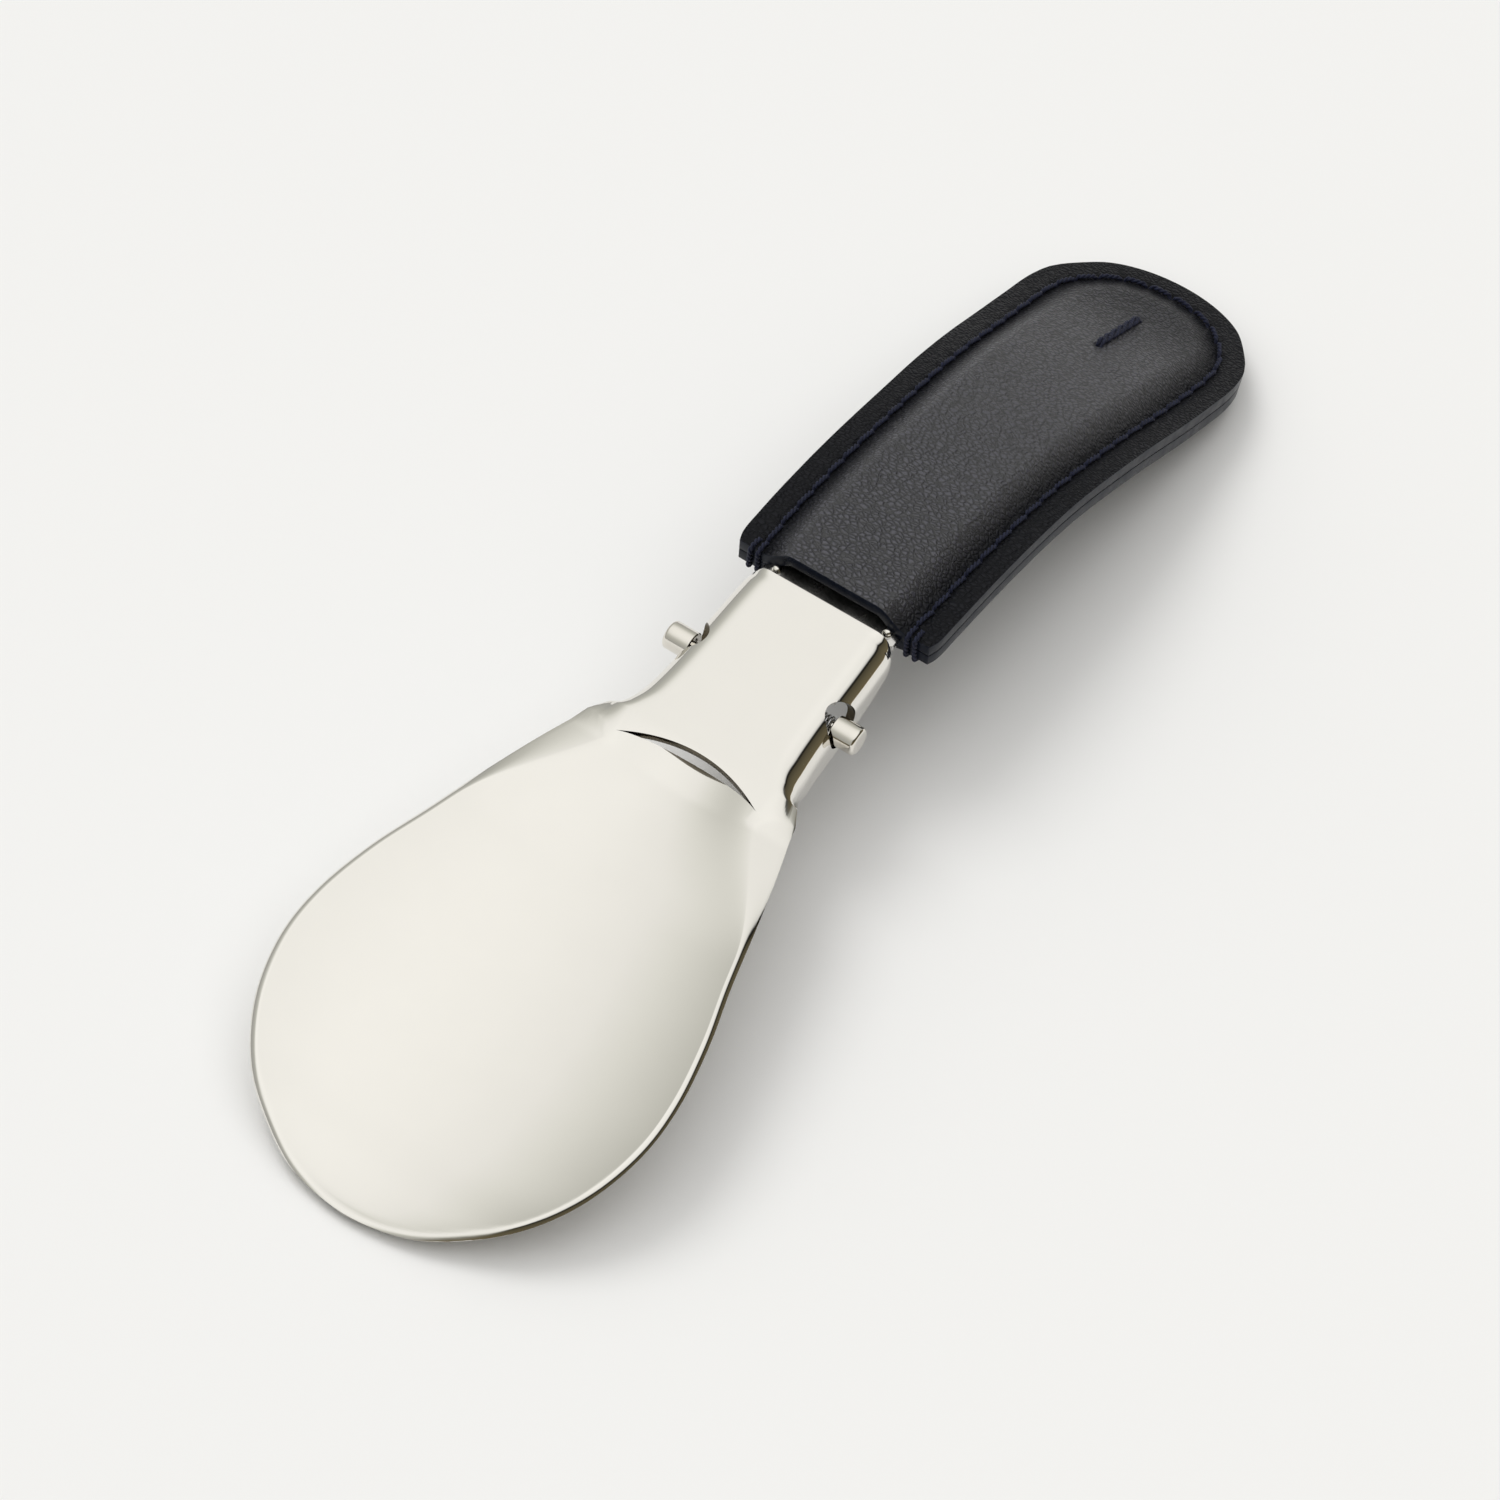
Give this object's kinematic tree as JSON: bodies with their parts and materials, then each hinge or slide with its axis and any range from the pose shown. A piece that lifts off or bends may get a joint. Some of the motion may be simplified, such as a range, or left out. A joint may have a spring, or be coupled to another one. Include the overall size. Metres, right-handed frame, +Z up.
{
  "type": "folding shoehorn",
  "caption": "Folding pocket shoehorn: a dished polished metal blade on a channel neck, and an arched, padded, stitched leather handle that folds under it on two sprung push buttons.",
  "frame": {"origin": "middle of the object's footprint, on the surface it stands on, with blade tip and handle end touching that surface", "axes": "+Y from the blade's tip towards the handle's end, +Z up, +X across, to the right seen from the blade's tip"},
  "size_m": [0.0466, 0.1644, 0.0204],
  "materials": {
    "polished_nickel": "mirror polished nickel plate",
    "turned_steel": "polished, softly chamfered",
    "spring_steel": "drawn wire",
    "hinge_plate_steel": "plated, satin",
    "rivet_nickel": "polished dome",
    "core_steel": "rolled strip",
    "padding_felt": "dense felt",
    "front_leather": "fine pebble grain, painted edge",
    "back_leather": "fine pebble grain, painted edge",
    "navy_thread": "twisted polyester thread",
    "tack_thread": "twisted polyester thread, doubled"
  },
  "bodies": {
    "blade": {"blade_and_neck": "polished_nickel"},
    "handle": {"hinge_plate": "hinge_plate_steel", "hinge_rivet_left": "rivet_nickel", "hinge_rivet_right": "rivet_nickel", "core_strip": "core_steel", "padding": "padding_felt", "leather_front": "front_leather", "leather_back": "back_leather", "edge_stitching": "navy_thread", "bar_tack": "tack_thread", "button_spring_left": "spring_steel", "button_spring_right": "spring_steel"},
    "button_left": {"button_left": "turned_steel"},
    "button_right": {"button_right": "turned_steel"}
  },
  "joints": [
    {"name": "fold", "type": "hinge", "parent": "blade", "child": "handle", "pos_m": [0, -0.00675, 0.01433], "axis": [-1, 0, 0], "range_deg": [0, 156]},
    {"name": "press_left", "type": "slide", "parent": "handle", "child": "button_left", "axis": [1, 0, 0], "range_m": [0, 0.0012], "stiffness_N_per_m": 300, "springref_m": -0.0015, "deforming": ["button_spring_left"]},
    {"name": "press_right", "type": "slide", "parent": "handle", "child": "button_right", "axis": [-1, 0, 0], "range_m": [0, 0.0012], "stiffness_N_per_m": 300, "springref_m": -0.0015, "deforming": ["button_spring_right"]}
  ]
}
